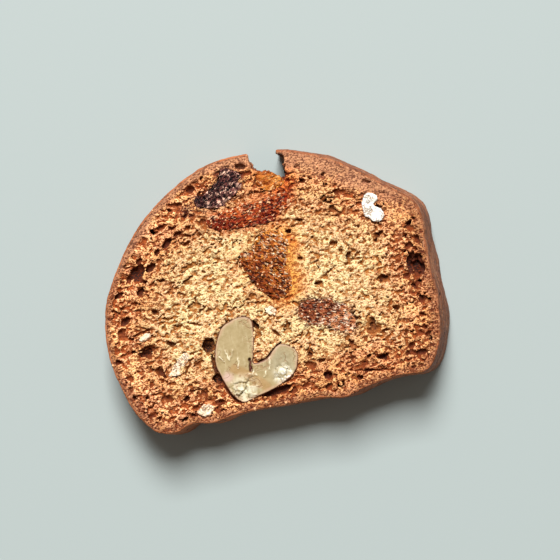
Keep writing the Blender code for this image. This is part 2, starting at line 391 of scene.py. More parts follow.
def crust_surface():
    """Browned skin outside, and a tan band where the knife went through the shell."""
    material, tree, shader = new_surface("baked_crust", 0.18)
    place = object_place(tree)
    x, y, _ = parts_of(place)
    grain, bumps = use(tree, GRAIN, Size=0.7, Contrast=1.0)
    cracks, ridges = use(tree, CREVICES, Size=1.6, Width=0.07)
    patches = ramp(noise(place, 6.0, 2.0), 0.35, 0.65)
    skin = mix(patches, (0.40, 0.115, 0.036), (0.23, 0.062, 0.022))
    skin = mix(grain * 0.6, skin, (0.56, 0.20, 0.07))
    # Wrinkles run round the wall as painted dark and light lines, painted shade in their folds and painted
    # highlight on their crests, deepest at the blunt end.
    lines = noise(wander(place, 2.0, 0.5) * (0.25, 0.25, 1.8), 1.1, 2.0)
    deepest = ramp(x, 8.0, 22.0, 0.25, 0.75)
    skin = mix(ramp(lines, 0.38, 0.50, 0.85, 0.0) * deepest, skin, (0.060, 0.022, 0.016))
    skin = mix(ramp(lines, 0.52, 0.64, 0.0, 0.6) * deepest, skin, (0.60, 0.31, 0.16))
    band = mix(grain, (0.18, 0.074, 0.038), (0.41, 0.19, 0.11))
    # The band is smooth under the dome's left, and as rough as the crumb lower down and on the right.
    speckle = ramp(noise(wander(place, 0.5, 0.2), 0.33, 2.0), 0.44, 0.53)
    right = ramp(x + waver(6.0, place, 3.0, 1.0), 2.0, 8.0)
    raised = mix(right, (0.44, 0.19, 0.09), (0.50, 0.23, 0.115))
    # Painted shade: near-black speckles between the rough band's grains.
    rough_band = mix(speckle, (0.030, 0.008, 0.005), raised)
    rough = ramp(y + waver(6.0, place, 3.0, 1.0), 0.0, 10.0, 0.9, 0.3)
    band = mix(most(rough, right * 0.7), band, rough_band)
    # Painted shade: the skin towards the right is darkened in the same speckles.
    skin = mix((1.0 - speckle) * right * 0.6, skin, (0.17, 0.055, 0.030))
    depth = kept(tree, "crust_depth") + waver(0.25, place, 1.2, 2.0)
    colour = mix(ramp(depth, 0.10, 0.34), skin, band)
    # Painted shade: darker in the cracks and in the crust's hollows.
    dark = most(cracks * 0.6, ramp(kept(tree, "hollow"), 0.02, 0.10) * 0.5)
    colour = mix(dark, colour, (0.13, 0.04, 0.015))
    feed(shader, colour, grain, 0.45, 0.75, bumps + ridges, 0.12)
    return material


def distance_to(tree, thing):
    """Distance in millimetres to an object's surface."""
    target = out(add_node(tree, "GeometryNodeObjectInfo", {"Object": thing}), "Geometry")
    return out(add_node(tree, "GeometryNodeProximity", {"Target": target}), "Distance") / MM


def crust_tree():
    """Wrinkles the crust's faces, keeping its cut edges where the cuts are."""
    tree, given = shape_tree("crust", Skin="Object", Wrinkle="Float", Material="Material")
    place = millimetres(tree)
    inwards = distance_to(tree, given["Skin"])
    wrinkles = noise(place, 1.6, 4.0, 0.6) - 0.5
    outside = fade(inwards, 0.15, 0.35)
    normal = out(add_node(tree, "GeometryNodeInputNormal"))
    cut_face = ramp(calc("ABSOLUTE", parts_of(normal)[2]), 0.4, 0.8)
    inner_lumps = (noise(place, 1.0, 2.0) - 0.5) * (1.0 - outside) * ramp(cut_face, 0.0, 1.0, 0.9, 0.25)
    rise = wrinkles * outside * given["Wrinkle"] + inner_lumps
    shape = moved(keep(given["Geometry"], crust_depth=inwards), normal * rise * MM)
    # Nothing reaches below the surface that the slice lies on.
    sunk = most(LOWEST - parts_of(millimetres(tree))[2], 0.0)
    shape = moved(shape, point(tree, 0.0, 0.0, sunk * MM))
    shape = keep(shape, hollow=hollowness(tree, 4))
    close_tree(tree, shape, given["Material"])
    return tree


def crust_blank():
    """The outer wall thickened inwards, with even faces."""

    def prepare(blank):
        shell = blank.modifiers.new("thickness", "SOLIDIFY")
        shell.thickness = CRUST_THICKNESS * MM
        shell.offset = -1.0
        even = blank.modifiers.new("even", "REMESH")
        even.mode = "VOXEL"
        even.voxel_size = CRUST_FINENESS * MM
        even.use_smooth_shade = True

    return as_evaluated("crust_blank", wall_mesh.copy(), prepare)


crust = grow("crust", crust_blank(), crust_tree(), Skin=wall, Wrinkle=0.4, Material=crust_surface())
finished(crust, "crumb")

# ------------------------------------------------------------
# Crumb. The open, dry inside of the slice, in an upper and a lower half that meet at mid-height. Each
# is a block of cells: the solid, roughened by its grain, less round pores that the cut has opened.
CRUMB_FINENESS = 0.2
LOWER_FINENESS = 0.25
LARGE_CELL = 3.6  # the usual distance between large pores, and between small ones
SMALL_CELL = 1.6
BLOCK_MARGIN = Vector((1.0, 1.0, 1.0))
HALVES_OVERLAP = 0.3
SMALLEST_LUMP = 4000  # a lump with fewer faces isn't joined to the crumb and is left out
CUT_FACE = 0.5  # a face belongs to a cut where the z of its normal is above this
WALL_REACH = 2.0  # a baked-in piece's side wall is carried this far past its cuts, to measure from
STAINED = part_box("apricot")  # the apricot's juice has stained the crumb round it, most on its right
RAISIN_TAIL = (-11.4, 16.4)  # the raisin's thin end is smeared along the cut as far as here
CLOSE_SPOTS = [(4.4, 1.0, 5.2), (26.4, 5.6, 4.5)]  # hardly any pores here: x, y, reach

# Where the crumb has split or come away at the upper cut: x, y, length, width, turn in degrees, depth.
SPLITS = [
    # beside the walnut and between its lobes
    (-13.1, -8.3, 2.6, 1.5, 75, 1.4), (-13.4, -12.2, 4.6, 0.6, -88, 1.3),
    (-13.4, -14.5, 1.9, 1.5, -50, 1.9), (-11.7, -17.8, 4.2, 0.55, -60, 1.2),
    (-3.4, -19.1, 5.4, 1.25, 8, 1.6), (0.3, -16.3, 2.8, 0.4, 62, 0.9), (-4.5, -6.6, 2.1, 0.95, -62, 1.7),
    (-6.0, -9.3, 3.8, 0.35, -86, 0.9), (-6.9, -12.4, 2.8, 0.55, -76, 1.3),
    (-5.0, -13.1, 2.2, 0.4, 8, 1.0), (-2.4, -11.8, 4.2, 0.5, 34, 1.2), (-1.2, -8.9, 1.6, 0.6, -60, 1.0),
    (1.2, -8.0, 1.4, 0.7, 20, 1.0),
    # in the rounded end
    (-24.8, -3.1, 4.3, 0.45, 11, 1.0), (-27.4, -6.2, 1.6, 0.4, 15, 0.9),
    (-23.0, -11.0, 2.0, 0.6, -65, 1.1), (-18.2, -11.4, 2.8, 0.45, 52, 0.9),
    (-16.2, -10.9, 2.4, 0.45, 20, 0.9), (-14.9, -3.9, 3.6, 0.35, -22, 0.8),
    (-27.1, 4.4, 1.8, 0.9, 20, 1.3), (-27.1, -0.4, 2.0, 1.2, 30, 1.4), (-23.1, 4.1, 1.8, 1.0, 40, 1.3),
    (-21.5, 0.0, 1.0, 0.9, 0, 1.2), (-20.0, -6.3, 1.6, 1.0, -30, 1.1), (-19.7, -16.5, 1.3, 0.9, 30, 1.3),
    # under the dome
    (-16.4, 11.5, 2.3, 1.1, 35, 1.3), (-20.3, 7.9, 2.1, 1.2, 30, 1.3), (-14.1, 12.7, 1.6, 0.8, 20, 1.1),
    (-18.6, 10.3, 1.4, 0.7, 60, 1.1), (-22.0, 9.6, 1.5, 0.8, 40, 1.1), (-17.9, 13.8, 1.3, 0.6, 20, 1.0),
    (-12.9, 10.6, 1.8, 0.6, 25, 1.0), (-24.6, 6.8, 1.5, 0.8, 60, 1.2), (-19.0, 5.2, 1.3, 0.6, 10, 1.0),
    (-0.2, 21.7, 2.0, 1.0, -20, 1.3), (5.4, 8.3, 1.1, 0.9, 0, 1.3), (6.3, 3.1, 1.0, 0.6, -30, 1.0),
    # towards the blunt end
    (14.8, 1.5, 1.6, 0.7, 50, 1.2), (12.8, 4.3, 1.6, 0.8, 0, 1.0), (25.2, -2.6, 3.2, 1.1, 80, 1.9),
    (28.6, -0.2, 2.0, 0.6, -70, 1.0), (14.1, -17.0, 1.0, 0.6, 0, 1.1), (13.8, -19.5, 8.4, 0.35, -12, 0.9),
    (23.4, -18.6, 2.0, 1.0, -5, 1.2),
]


def cells(place, size):
    """Distance to the nearest cell centre in millimetres, and a random number of each cell."""
    made = add_node(place.tree, "ShaderNodeTexVoronoi", {"Vector": place, "Scale": 1.0 / size})
    return out(made, "Distance") * size, parts_of(out(made, "Color"))[0]


def streaks(place, turn, stretch):
    """The place, turned about the vertical and shrunk along its new x: noise on it runs in streaks."""
    turning = {"Vector": place, "Angle": turn * -math.radians(1.0)}
    turned = out(add_node(place.tree, "ShaderNodeVectorRotate", turning))
    return turned * (1.0 / stretch, 1.0, 1.0)


def side_wall(node):
    """A baked-in solid's side as an open shape, carried on past both cuts."""
    shape = merged_copy(node)
    low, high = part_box(node)
    middle = (low.z + high.z) / 2.0
    level = [face for face in shape.faces if abs(face.normal.z) > CUT_FACE]
    bmesh.ops.delete(shape, geom=level, context="FACES")
    rims = {vertex for edge in shape.edges if edge.is_boundary for vertex in edge.verts}
    for vertex in rims:
        vertex.co.z += math.copysign(WALL_REACH * MM, vertex.co.z - middle)
    return shape


def side_walls(name, nodes):
    """A guide object with the side walls of several baked-in solids."""
    joined = bpy.data.meshes.new(name)
    for node in nodes:
        shape = side_wall(node)
        shape.from_mesh(joined)
        shape.to_mesh(joined)
        shape.free()
    return in_scene(name, joined)


def inside_distance(wall_shape, position):
    """Distance from a position to a wall whose faces point outwards, above zero inside it."""
    tree = position.tree
    vectors = {"data_type": "FLOAT_VECTOR"}
    nearest = add_node(tree, "GeometryNodeProximity", {"Target": wall_shape, "Sample Position": position})
    facing = {"Value": out(add_node(tree, "GeometryNodeInputNormal"))}
    facing = out(add_node(tree, "GeometryNodeFieldOnDomain", facing, domain="POINT", **vectors))
    reading = {"Mesh": wall_shape, "Value": facing, "Sample Position": position}
    facing = out(add_node(tree, "GeometryNodeSampleNearestSurface", reading, **vectors))
    beyond = calc("DOT_PRODUCT", position - out(nearest), facing)
    return out(nearest, "Distance") / MM * calc("SIGN", beyond) * -1.0


def carve(body, low, high, fineness):
    """The surface round all points between two corners where body is above zero."""
    tree = body.tree
    step = point(tree, fineness, fineness, fineness)
    steps = parts_of((high - low) * (1.0 / MM) / step)
    block = {"Density": body, "Background": -1.0, "Min": low, "Max": high}
    for axis, count in zip("XYZ", steps):
        block["Resolution " + axis] = count
    volume = out(add_node(tree, "GeometryNodeVolumeCube", block))
    return out(add_node(tree, "GeometryNodeVolumeToMesh", {"Volume": volume, "Threshold": 0.0}))


def without_crumbs(shape):
    """The shape without lumps that aren't joined to it."""
    tree = shape.tree
    island = out(add_node(tree, "GeometryNodeInputMeshIsland"))
    one_each = {"Value": 1.0, "Group Index": island}
    faces = out(add_node(tree, "GeometryNodeAccumulateField", one_each, domain="FACE"), "Total")
    loose = {"Geometry": shape, "Selection": calc("LESS_THAN", faces, float(SMALLEST_LUMP))}
    return out(add_node(tree, "GeometryNodeDeleteGeometry", loose, domain="FACE"))


def lengthened(place):
    """The place, shrunk a little along the slice, so that the crumb's cells run along it."""
    return place * (0.8, 1.1, 1.0)


def web(place):
    """The crumb's open web from 0 to 1: cells where it is low, their walls where it is high."""
    return noise(wander(lengthened(place), 0.8, 0.25), 0.62, 2.0, 0.55)


def near(place, centre, reach):
    """1 at a spot of the cut face, falling to 0 at that distance from it."""
    x, y, _ = parts_of(place)
    away = calc("LENGTH", point(place.tree, x - centre[0], y - centre[1], 0.0))
    return fade(away, reach * 0.2, reach)


def close_grained(place):
    """1 in the middle of the spots where the crumb has hardly any pores."""
    spots = [near(place, (x, y), reach) for x, y, reach in CLOSE_SPOTS]
    share = spots[0]
    for spot in spots[1:]:
        share = most(share, spot)
    return share


def dense_share(place, from_crust):
    """1 where the crumb is close-grained: a band under the dome's crust, widest right of the chip."""
    x, y, _ = parts_of(place)
    reach = ramp(x, -8.0, 6.0, 1.6, 4.4)
    return fade(from_crust, reach * 0.4, reach) * ramp(y, 5.0, 13.0)


def split_walls(place, depth):
    """Distance to the walls of the splits, below zero inside them."""
    ragged = wander(place, 0.8, 0.3)
    nearest = None
    for x, y, length, width, turn, reach in SPLITS:
        across = streaks(ragged - (x, y, 0.0), turn, length / width)
        u, v, _ = parts_of(across)
        side = calc("LENGTH", point(place.tree, u, v, 0.0)) - width / 2.0
        walls = most(side, depth - reach)
        nearest = walls if nearest is None else least(nearest, walls)
    return nearest


def crumb_tree():
    """Turns the crumb solid into one half of the crumb, with open pores and a rough grain."""
    tree, given = shape_tree(
        "crumb", Skin="Object", Fillings="Object", Apricots="Object",
        Cherry="Object", Dark_Fruit="Object", Low="Vector", High="Vector",
        Cut_Height="Float", Facing="Float", Half="Float", Fineness="Float", Large_Pore="Float",
        Small_Pore="Float", Grain="Float", Material="Material",
    )
    place = millimetres(tree)
    height = parts_of(place)[2]
    depth = (given["Cut Height"] - height) * given["Facing"]
    from_crust = distance_to(tree, given["Skin"])
    from_filling = distance_to(tree, given["Fillings"])
    # The solid's air pockets get ragged walls, but its crust and the pockets of its fillings stay.
    free = ramp(from_crust, 0.9, 1.8) * ramp(from_filling, 0.3, 1.0)
    ragged = wander(wander(place, 1.7, 0.75), 0.7, 0.35) - place
    ragged = ragged * (1.0, 1.0, 0.0) * free
    within = inside_distance(given["Geometry"], (place + ragged) * MM)
    bent = wander(wander(lengthened(place), 1.8, 0.8), 0.7, 0.25)
    inside = ramp(from_crust + waver(1.2, place, 1.5, 2.0), 0.7, 1.3)
    close = most(dense_share(place, from_crust), close_grained(place) * 0.8)
    inside = inside * (1.0 - close * 0.75)
    airy = ramp(from_crust, 2.0, 10.0, 1.25, 0.6)  # larger pores towards the crust
    # Large and small air pockets, then the open cells between the grains.
    large, large_luck = cells(bent, LARGE_CELL)
    large_radius = ramp(large_luck, 0.4, 1.0, smooth=False) * given["Large Pore"] * airy
    large_radius = large_radius * fade(depth, 1.6, 2.6)
    small, small_luck = cells(bent, SMALL_CELL)
    small_radius = (small_luck * 0.8 + 0.2) * given["Small Pore"] * airy * fade(depth, 0.9, 1.7)
    hollows = calc("SMOOTH_MIN", large - large_radius * inside, small - small_radius * inside, 0.2)
    hollows = hollows + waver(0.5, place, 0.5, 2.0)
    openness = noise(place, 5.0, 2.0)
    closed = ramp(openness, 0.3, 0.7, 0.36, 0.48) * ramp(from_crust, 2.0, 9.0, 1.1, 1.0)
    closed = closed * inside * fade(depth, 0.45, 0.9)
    grains = (web(place) - closed) * given["Grain"]
    # Long thin tears along the slice, where the dough has pulled apart.
    line = calc("ABSOLUTE", noise(streaks(wander(place, 2.5, 0.6), 6.0, 2.6), 2.4, 2.0) - 0.5) * 7.0
    here = ramp(noise(place, 4.0, 1.0), 0.50, 0.62, 0.0, 0.16) * inside * fade(depth, 0.5, 1.2)
    grains = least(grains, line - here)
    knife_drag = waver(0.3, place, 0.5, 2.0) - 0.06
    # The crumb clings unevenly to what is baked into it, and reaches over its edges.
    creep = (noise(place, 1.1, 3.0, 0.6) - 0.36) * 2.4 * fade(from_filling, 0.4, 1.2)
    crumple = waver(2.6, place, 0.9, 3.0, 0.65) * free * ramp(depth, 0.15, 0.6)
    body = least(within + knife_drag + creep + crumple, depth + knife_drag)
    body = least(body, least(hollows, grains))
    other_side = (1.0 - given["Facing"]) * 10.0
    body = least(body, split_walls(place, depth) + other_side)
    body = least(body, given["Half"] - depth)
    body = least(body, height - LOWEST)

    shape = without_crumbs(carve(body, given["Low"], given["High"], given["Fineness"]))
    shape = keep(
        shape, crust_depth=from_crust, sunk=depth, hollow=hollowness(tree, 3),
        from_apricot=distance_to(tree, given["Apricots"]), from_cherry=distance_to(tree, given["Cherry"]),
        from_dark=distance_to(tree, given["Dark Fruit"]),
    )
    close_tree(tree, shape, given["Material"])
    return tree


def crumb_surface():
    """Dry crumb: pale grain tops with some painted highlight, cells brown partly from toasting and partly
    as painted shade, painted shade in deep pits and fine gaps, toasted towards the crust and stained by the
    fruit.
    """
    material, tree, shader = new_surface("dry_crumb", 0.25)
    place = object_place(tree)
    x, y, _ = parts_of(place)
    grain, bumps = use(tree, GRAIN, Size=0.45, Contrast=1.6)
    fine = noise(wander(lengthened(place), 0.5, 0.2), 0.27, 2.0, 0.5)
    toasted = fade(kept(tree, "crust_depth") + waver(9.0, place, 6.0, 2.0), 4.0, 13.0)
    gaps = fade(fine - toasted * 0.02, 0.42, 0.48)
    peachy = ramp(noise(place, 2.6, 2.0), 0.42, 0.60)
    top = mix(toasted, (0.99, 0.76, 0.36), (0.99, 0.455, 0.155))
    top = mix(peachy * 0.7, top, mix(toasted, (0.98, 0.59, 0.29), (0.94, 0.38, 0.16)))
    # Cream specks on the grain tops, partly the crumb's own pale grains and partly painted highlight.
    top = mix(ramp(fine, 0.56, 0.66) * 0.6, top, mix(toasted, (1.0, 0.90, 0.62), (1.0, 0.66, 0.35)))
    # The cells and the low parts of the web turn brown, partly from their own toasting and partly as
    # painted shade.
    cell = mix(toasted, (0.46, 0.17, 0.034), (0.32, 0.065, 0.010))
    low = ramp(kept(tree, "sunk") + kept(tree, "hollow") * 5.0, 0.05, 0.65)
    low = most(low, ramp(web(place), 0.38, 0.50, 0.9, 0.0))
    colour = mix(low, top, cell)
    colour = colour * ramp(grain, 0.1, 0.9, 0.60, 1.15, smooth=False)
    # Painted shade: darker, down to near black, the deeper a point lies below the cut.
    colour = mix(ramp(kept(tree, "sunk"), 0.5, 1.3) * 0.88, colour, (0.055, 0.012, 0.005))
    colour = mix(ramp(kept(tree, "sunk"), 1.1, 2.2) * 0.85, colour, (0.012, 0.003, 0.002))
    # Painted shade in the fine gaps between the grains, in a dark red-brown.
    gap = mix(toasted, (0.26, 0.075, 0.010), (0.13, 0.020, 0.003))
    colour = mix(gaps * ramp(toasted, 0.0, 1.0, 0.8, 0.95), colour, gap)
    stain_side = ramp(x - y * 0.2, STAINED[0].x / MM, STAINED[1].x / MM, 0.25, 1.0)
    uneven = waver(2.4, place, 1.6, 2.0)
    stain = fade(kept(tree, "from_apricot") + uneven, 0.6, 4.2) * stain_side
    colour = tint(stain, colour, (0.92, 0.49, 0.15))
    blush = fade(kept(tree, "from_cherry") + uneven, 0.0, 2.2)
    colour = tint(blush * 0.75, colour, (0.78, 0.36, 0.24))
    dense = dense_share(place, kept(tree, "crust_depth") + uneven * 0.5)
    close_crumb = mix(grain, (0.32, 0.11, 0.05), (0.76, 0.39, 0.21))
    # Painted shade in the fine gaps of the close crumb.
    close_crumb = mix(ramp(fine, 0.43, 0.50, 0.75, 0.0), close_crumb, (0.09, 0.025, 0.012))
    colour = mix(dense * 0.75, colour, close_crumb)
    from_skin = kept(tree, "crust_depth") + uneven * 0.3
    # Paler just inside the crust on the left, and further in on the right.
    pale_side = fade(x, -14.0, -4.0) * ramp(from_skin, 0.9, 1.7) * fade(from_skin, 3.0, 6.0)
    colour = tint(pale_side, colour, (1.30, 1.42, 1.60))
    pale_zone = ramp(x, 10.0, 18.0) * ramp(from_skin, 2.6, 4.2) * fade(from_skin, 6.5, 9.0)
    colour = tint(pale_zone, colour, (1.08, 1.14, 1.20))
    # Browned next to the crust, furthest at the blunt end and along the base.
    base_reach = ramp(x, -22.0, -8.0, 2.8, 1.5) * ramp(y, -16.0, -6.0, 1.0, 0.5)
    reach = most(base_reach, ramp(x, 12.0, 22.0, 0.0, 2.2))
    browned = fade(from_skin, reach * 0.45, reach) * ramp(y, 6.0, 12.0, 1.0, 0.4)
    colour = tint(browned, colour, (0.58, 0.52, 0.54))
    smear = fade(kept(tree, "from_dark") + uneven, 0.0, 1.5)
    smear = most(smear, near(place, RAISIN_TAIL, 2.2))
    colour = mix(smear * ramp(fine, 0.44, 0.54, 1.0, 0.25), colour, (0.07, 0.016, 0.012))
    feed(shader, colour, grain, 0.7, 0.95, bumps + fine * 1.5, 0.12)
    return material


BAKED_IN = [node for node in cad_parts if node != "crumb"]
fillings = side_walls("fillings", BAKED_IN)
apricots = side_walls("apricots", ["apricot", "chip_apricot"])
cherry = side_walls("cherry_side", ["cherry"])
dark_fruit = side_walls("dark_fruit", ["raisin", "date"])
crumb_shape = crumb_tree()
crumb_material = crumb_surface()
half_height = CUT_HEIGHT / 2.0 + HALVES_OVERLAP / 2.0
for name, cut in (("crumb_upper", CUT_HEIGHT), ("crumb_lower", 0.0)):
    low, high = (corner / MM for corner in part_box("crumb"))
    if cut > 0.0:
        low.z = cut - half_height
    else:
        high.z = half_height
    half = grow(
        name, as_mesh(merged_copy("crumb"), name), crumb_shape,
        Skin=wall, Fillings=fillings, Apricots=apricots, Cherry=cherry, Dark_Fruit=dark_fruit,
        Low=(low - BLOCK_MARGIN) * MM, High=(high + BLOCK_MARGIN) * MM,
        Cut_Height=cut, Facing=1.0 if cut > 0.0 else -1.0, Half=half_height,
        Fineness=CRUMB_FINENESS if cut > 0.0 else LOWER_FINENESS,
        Large_Pore=1.3, Small_Pore=0.65, Grain=3.0, Material=crumb_material,
    )
    finished(half, "crumb", "crumb")

# ------------------------------------------------------------
# Walnut. Half a kernel baked into the dough and sliced with it: two smooth pale lobes in a thin brown
# skin, joined at the bottom, where the knife has broken it into small facets.
BAKED_IN_FINENESS = 0.16
BAKED_IN_LOWEST = 0.1  # the pieces' lower ends are drawn in this far from the lower cut
WALNUT_SUNK = 0.12  # how far its face lies below the cut
FACET = 1.9  # usual width
WALNUT_BROKEN = (-9.2, -17.6)
WALNUT_CRUSHED = (-1.6, -16.6)
WALNUT_PINK = (-11.6, -14.6)  # a small facet with its skin still on
WALNUT_GREY = (-1.6, -14.2)  # the lobe on the right is paler and greyer
WALNUT_FOLD = ((-7.0, -12.4), (-7.2, -14.4))
KNIFE_MARKS = [  # scratches and raised edges on the kernel, from point to point
    ((-10.9, -9.8), (-10.5, -11.7)), ((-9.6, -10.1), (-10.4, -11.4)), ((-9.0, -11.7), (-9.3, -13.3)),
    ((-3.5, -12.9), (-3.8, -14.9)), ((-7.8, -15.0), (-6.5, -15.3)), ((-6.9, -14.3), (-7.1, -15.1)),
    ((-4.6, -15.2), (-5.2, -16.0)), ((-10.4, -17.1), (-7.2, -18.9)), ((-12.1, -10.8), (-11.7, -11.6)),
]
BROWN_STREAKS = [((-10.0, -13.4), (-7.4, -15.4)), ((-7.4, -15.4), (-5.3, -17.8))]


def stroke(place, start, end, width):
    """1 on a straight line across the cut face from start to end, fading to 0 at its sides."""
    x, y, _ = parts_of(place)
    run = Vector(end) - Vector(start)
    along = run.normalized()
    u = (x - start[0]) * along.x + (y - start[1]) * along.y
    v = (y - start[1]) * along.x - (x - start[0]) * along.y
    past_end = u - least(most(u, 0.0), run.length)
    away = calc("LENGTH", point(place.tree, past_end, v, 0.0))
    return fade(away, width * 0.25, width * 0.6)


def strokes(place, lines, width):
    mask = stroke(place, *lines[0], width)
    for start, end in lines[1:]:
        mask = most(mask, stroke(place, start, end, width))
    return mask


def baked_in(node, slot, tree, **inputs):
    """The finished form of a baked-in piece, inside the crumb's pocket for it."""
    low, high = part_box(node)
    margin = BLOCK_MARGIN * MM
    piece = grow(
        node + "_piece", as_mesh(side_wall(node), node), tree, Low=low - margin, High=high + margin,
        Top=high.z / MM, Fineness=BAKED_IN_FINENESS, **inputs,
    )
    finished(piece, slot, node)


def walnut_tree():
    """The kernel: flat lobes, rounded over at the skin, with broken facets low down."""
    tree, given = shape_tree(
        "walnut", Low="Vector", High="Vector", Top="Float", Fineness="Float", Swell="Float", Facet="Float",
        Material="Material",
    )
    position = out(add_node(tree, "GeometryNodeInputPosition"))
    place = millimetres(tree)
    height = parts_of(place)[2]
    lumps = waver(0.35, place, 2.2, 2.0)
    side = inside_distance(given["Geometry"], position) + given["Swell"] + lumps
    broken = most(near(place, WALNUT_BROKEN, 3.6), near(place, WALNUT_CRUSHED, 2.6))
    bent = wander(place, 1.5, 0.5)
    _, luck = cells(bent, FACET)
    seams = {"Vector": bent, "Scale": 1.0 / FACET}
    seams = add_node(tree, "ShaderNodeTexVoronoi", seams, feature="DISTANCE_TO_EDGE")
    crack = fade(out(seams, "Distance"), 0.0, 0.07)
    facets = ((luck - 0.45) * 0.9 - crack * 0.45) * broken * given["Facet"]
    facets = facets + strokes(wander(place, 1.2, 0.25), KNIFE_MARKS, 0.4) * 0.12
    hollow = stroke(wander(place, 1.0, 0.3), *WALNUT_FOLD, 0.6) * 0.7
    relief = waver(0.25, place, 3.0, 2.0)
    relief = relief + (noise(place, 0.5, 2.0) - 0.5) * (broken * 0.25 + 0.06)
    top = given["Top"] - WALNUT_SUNK + relief + facets - hollow
    body = calc("SMOOTH_MIN", side, top - height, 0.3)
    body = least(body, height - BAKED_IN_LOWEST)
    shape = carve(body, given["Low"], given["High"], given["Fineness"])
    shape = keep(shape, rim=side, hollow=hollowness(tree, 3), broken=broken)
    close_tree(tree, shape, given["Material"])
    return tree


def kernel_surface():
    """Pale waxy nut flesh, scratched by the knife, in a thin brown skin."""
    material, tree, shader = new_surface("walnut_kernel", 0.4)
    place = object_place(tree)
    grain, bumps = use(tree, GRAIN, Size=1.6, Contrast=0.8)
    cracks, ridges = use(tree, CREVICES, Size=2.4, Width=0.03)
    bent = wander(place, 1.2, 0.25)
    flesh = mix(grain, (0.31, 0.22, 0.092), (0.45, 0.35, 0.175))
    fibres = noise(streaks(place, 82.0, 5.0), 0.5, 2.0)
    flesh = mix(ramp(fibres, 0.52, 0.70) * 0.4, flesh, (0.55, 0.46, 0.27))
    greyer = mix(grain, (0.25, 0.21, 0.12), (0.47, 0.43, 0.29))
    flesh = mix(near(bent, WALNUT_GREY, 4.2) * 0.6, flesh, greyer)
    flesh = mix(strokes(bent, BROWN_STREAKS, 2.0) * 0.65, flesh, (0.38, 0.21, 0.07))
    broken = kept(tree, "broken") * ramp(noise(place, 1.0, 2.0), 0.38, 0.58)
    flesh = mix(broken * 0.9, flesh, (0.70, 0.64, 0.46))
    grit = noise(place, 0.4, 2.0)
    flesh = mix(near(place, WALNUT_CRUSHED, 2.4) * ramp(grit, 0.5, 0.62), flesh, (0.84, 0.82, 0.74))
    flesh = mix(near(bent, WALNUT_PINK, 1.5) * 0.9, flesh, (0.62, 0.42, 0.33))
    worn = ramp(noise(place, 0.8, 2.0), 0.35, 0.6, 0.1, 0.75)
    marks = strokes(wander(bent, 0.7, 0.3), KNIFE_MARKS, 0.32) * worn
    flesh = mix(marks, flesh, (0.88, 0.80, 0.56))
    # Painted shade in the cracks.
    flesh = mix(cracks * 0.6, flesh, (0.30, 0.15, 0.06))
    edge = kept(tree, "rim") + waver(0.35, place, 1.8, 2.0)
    pink_edge = mix(ramp(edge + noise(place, 2.5, 1.0), 0.7, 1.2, 0.4, 0.0), flesh, (0.62, 0.36, 0.24))
    colour = mix(fade(edge, 0.12, 0.26), pink_edge, (0.13, 0.045, 0.02))
    colour = mix(stroke(wander(bent, 0.7, 0.3), *WALNUT_FOLD, 0.5), colour, (0.09, 0.018, 0.010))
    # Painted shade in the hollows.
    colour = mix(ramp(kept(tree, "hollow"), 0.03, 0.12) * 0.7, colour, (0.18, 0.08, 0.03))
    feed(shader, colour, grain, 0.38, 0.6, bumps + ridges, 0.05)
    return material


baked_in("walnut", "walnut", walnut_tree(), Swell=0.28, Facet=1.0, Material=kernel_surface())

# ------------------------------------------------------------
# Dried fruit. A raisin, a cherry, pieces of apricot and a date, cut and torn by the knife: dark and
# sticky, with frayed streaks, and with crumbs pressed into them. Soft, so they fill their pockets.
LEAN = Vector((2.5, -0.6, 0.0))  # from a piece's upper end to its lower one, as the cut is oblique


def torn(place, turn, size):
    """Frayed streaks from 0 to 1, along a direction in degrees."""
    run = streaks(wander(place, 1.6, 0.4), turn, 2.4)
    return 1.0 - calc("ABSOLUTE", noise(run, size, 3.0, 0.6) * 4.0 - 2.0)


def fruit_tree():
    """A piece of dried fruit with lumpy sides and a torn face."""
    tree, given = shape_tree(
        "dried_fruit", Low="Vector", High="Vector", Top="Float", Fineness="Float", Swell="Float",
        Lumps="Float", Lift="Float", Tear="Float", Tear_Size="Float", Turn="Float", Material="Material",
    )
    position = out(add_node(tree, "GeometryNodeInputPosition"))
    place = millimetres(tree)
    height = parts_of(place)[2]
    lumps = (noise(place, 1.4, 4.0, 0.65) - 0.5) * given["Lumps"]
    side = inside_distance(given["Geometry"], position) + given["Swell"] + lumps
    fray = torn(place, given["Turn"], given["Tear Size"])
    sag = waver(0.6, place, 2.6, 1.0)
    top = given["Top"] + given["Lift"] + (fray - 0.6) * given["Tear"] + sag
    body = calc("SMOOTH_MIN", side, top - height, 0.15)
    body = calc("SMOOTH_MIN", body, height - BAKED_IN_LOWEST - fray * 0.2, 0.15)
    shape = carve(body, given["Low"], given["High"], given["Fineness"])
    shape = keep(shape, rim=side, hollow=hollowness(tree, 3))
    close_tree(tree, shape, given["Material"])
    return tree


def fleck_effect():
    """Small crumbs and sugar stuck on a surface, and on the fruit painted glints as well: a Mask."""
    tree, given, place = effect_tree("flecks", ("Mask",), Size=0.35, Amount=0.4, Turn=0.0)
    grit = noise(streaks(wander(place, 0.6, 0.3), given["Turn"], 2.4), given["Size"], 2.0, 0.55)
    level = 0.70 - given["Amount"] * 0.4
    mask = ramp(grit, level, level + 0.09) * ramp(noise(place, 0.7, 1.0), 0.35, 0.60, 0.35, 1.0)
    add_node(tree, "NodeGroupOutput", {"Mask": mask})
    return tree


def fray_effect():
    """Frayed streaks: a Value that is high on the strands."""
    tree, given, place = effect_tree("fray", ("Value",), Size=0.7, Turn=0.0)
    add_node(tree, "NodeGroupOutput", {"Value": torn(place, given["Turn"], given["Size"])})
    return tree


FLECKS = fleck_effect()
FRAY = fray_effect()


